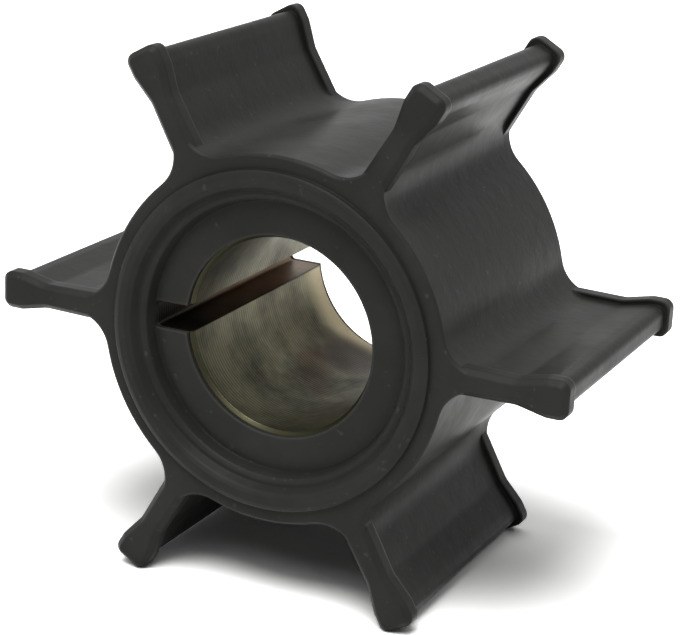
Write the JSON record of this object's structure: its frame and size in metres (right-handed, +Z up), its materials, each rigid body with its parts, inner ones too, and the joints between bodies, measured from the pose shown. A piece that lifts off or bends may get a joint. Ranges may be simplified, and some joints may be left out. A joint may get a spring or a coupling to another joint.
{
  "type": "pump impeller",
  "caption": "Flexible-vane pump impeller: a moulded rubber hub with straight radial vanes that end in rounded beads, bonded round a keyed bronze drive bush.",
  "frame": {"origin": "centre of the wheel, on the shaft axis and halfway between the crowns of its two end rings", "axes": "+Y along the shaft axis, from the deep-socket end of the hub to the shallow-socket end; +Z up, so that the wheel stands on its two lowest vane tips; +X to the right, seen from the deep-socket end"},
  "size_m": [0.05, 0.027, 0.0442],
  "materials": {
    "rubber": "matt moulded nitrile rubber",
    "bronze": "dull, lightly tarnished machined bronze"
  },
  "bodies": {
    "root": {"vane_body": "rubber", "drive_bush": "bronze"}
  },
  "joints": []
}
